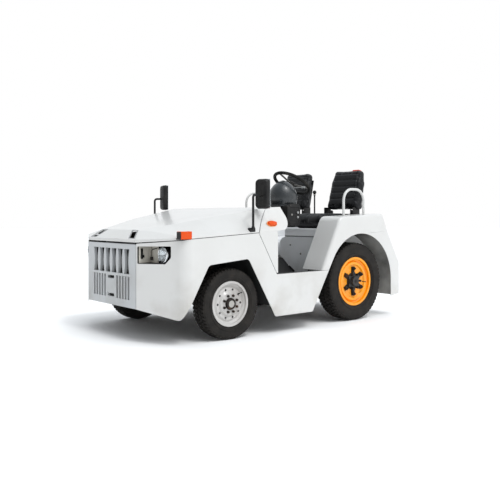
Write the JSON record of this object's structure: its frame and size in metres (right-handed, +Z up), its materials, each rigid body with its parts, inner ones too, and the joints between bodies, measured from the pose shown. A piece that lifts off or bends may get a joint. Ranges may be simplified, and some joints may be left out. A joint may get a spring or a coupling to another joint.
{
  "type": "airport baggage tug",
  "caption": "Open two-seat baggage tug with a sloped front-hinged hood, waisted grille openings, large rear wheels, domed dash pod and a stepped tow hitch.",
  "frame": {"origin": "on the ground under the middle of the bounding box", "axes": "+X forward, +Y to the tug's left, +Z up"},
  "size_m": [3.07, 1.7328, 1.5016],
  "materials": {
    "body_paint": "satin",
    "grey_paint": "satin",
    "chassis_paint": "satin",
    "rear_rim_paint": "satin",
    "front_rim_paint": "satin",
    "black_plastic": "matt",
    "pod_plastic": "glossy",
    "amber_plastic": "glossy",
    "red_plastic": "glossy",
    "lens_glass": "clear",
    "mirror_glass": "polished",
    "seat_vinyl": "grained",
    "tyre_rubber": "matt",
    "cast_grey": "rough",
    "steel": "worn"
  },
  "bodies": {
    "chassis": {"chassis_frame": "chassis_paint", "front_grille": "body_paint", "radiator": "black_plastic", "side_panel_left": "body_paint", "side_panel_right": "body_paint", "headlamp_pockets": "black_plastic", "headlamp_lenses": "lens_glass", "hinge_brackets": "chassis_paint", "cowl": "body_paint", "side_repeaters": "amber_plastic", "bulkhead": "chassis_paint", "dash_pod": "pod_plastic", "steering_column": "black_plastic", "pedals": "chassis_paint", "brake_lever": "black_plastic", "floor_pan": "chassis_paint", "seat_boxes": "grey_paint", "seat_cushion_left": "seat_vinyl", "seat_cushion_right": "seat_vinyl", "seat_back_left": "seat_vinyl", "seat_back_right": "seat_vinyl", "seat_brackets": "chassis_paint", "rear_fender_left": "body_paint", "rear_fender_right": "body_paint", "rear_corners": "grey_paint", "arch_liners": "black_plastic", "rear_body": "body_paint", "tail_lamps": "red_plastic", "grab_rails": "body_paint", "tow_hitch": "chassis_paint", "engine_block": "cast_grey", "front_axle": "chassis_paint", "leaf_springs": "chassis_paint", "rear_axle": "cast_grey", "drive_shaft": "steel"},
    "hood": {"hood": "body_paint", "corner_lamps": "amber_plastic", "mirrors": "black_plastic", "mirror_glasses": "mirror_glass"},
    "knuckle_left": {"knuckle_left": "cast_grey"},
    "knuckle_right": {"knuckle_right": "cast_grey"},
    "tie_rod": {"tie_rod": "steel"},
    "steering_wheel": {"steering_wheel": "black_plastic"},
    "front_wheel_left": {"front_tyre_left": "tyre_rubber", "front_rim_left": "front_rim_paint", "front_hub_left": "black_plastic"},
    "front_wheel_right": {"front_tyre_right": "tyre_rubber", "front_rim_right": "front_rim_paint", "front_hub_right": "black_plastic"},
    "rear_wheel_left": {"rear_tyre_left": "tyre_rubber", "rear_rim_left": "rear_rim_paint", "rear_hub_left": "chassis_paint"},
    "rear_wheel_right": {"rear_tyre_right": "tyre_rubber", "rear_rim_right": "rear_rim_paint", "rear_hub_right": "chassis_paint"}
  },
  "joints": [
    {"name": "hood_hinge", "type": "hinge", "parent": "chassis", "child": "hood", "pos_m": [1.508, 0, 0.8525], "axis": [0, 1, 0], "range_deg": [0, 60]},
    {"name": "steer_left", "type": "hinge", "parent": "chassis", "child": "knuckle_left", "pos_m": [0.839, 0.655, 0.3], "axis": [0, 0, 1], "range_deg": [-35, 35]},
    {"name": "steer_right", "type": "hinge", "parent": "chassis", "child": "knuckle_right", "pos_m": [0.839, -0.655, 0.3], "axis": [0, 0, 1], "range_deg": [-35, 35]},
    {"name": "tie_rod_pin", "type": "hinge", "parent": "knuckle_left", "child": "tie_rod", "pos_m": [0.724, 0.655, 0.222], "axis": [0, 0, 1], "range_deg": [-35, 35]},
    {"name": "steering_wheel_turn", "type": "hinge", "parent": "chassis", "child": "steering_wheel", "pos_m": [-0.269, 0.385, 1.369], "axis": [-0.5299, 0, 0.848], "range_deg": [-525, 525]},
    {"name": "front_wheel_left_spin", "type": "hinge", "parent": "knuckle_left", "child": "front_wheel_left", "pos_m": [0.839, 0.725, 0.3], "axis": [0, 1, 0], "continuous": true},
    {"name": "front_wheel_right_spin", "type": "hinge", "parent": "knuckle_right", "child": "front_wheel_right", "pos_m": [0.839, -0.725, 0.3], "axis": [0, 1, 0], "continuous": true},
    {"name": "rear_wheel_left_spin", "type": "hinge", "parent": "chassis", "child": "rear_wheel_left", "pos_m": [-0.761, 0.703, 0.3875], "axis": [0, 1, 0], "continuous": true},
    {"name": "rear_wheel_right_spin", "type": "hinge", "parent": "chassis", "child": "rear_wheel_right", "pos_m": [-0.761, -0.703, 0.3875], "axis": [0, 1, 0], "continuous": true}
  ],
  "couplings": [
    {"joint": "steer_right", "follows": "steer_left", "ratio": 1},
    {"joint": "tie_rod_pin", "follows": "steer_left", "ratio": -1},
    {"joint": "steering_wheel_turn", "follows": "steer_left", "ratio": 15}
  ]
}
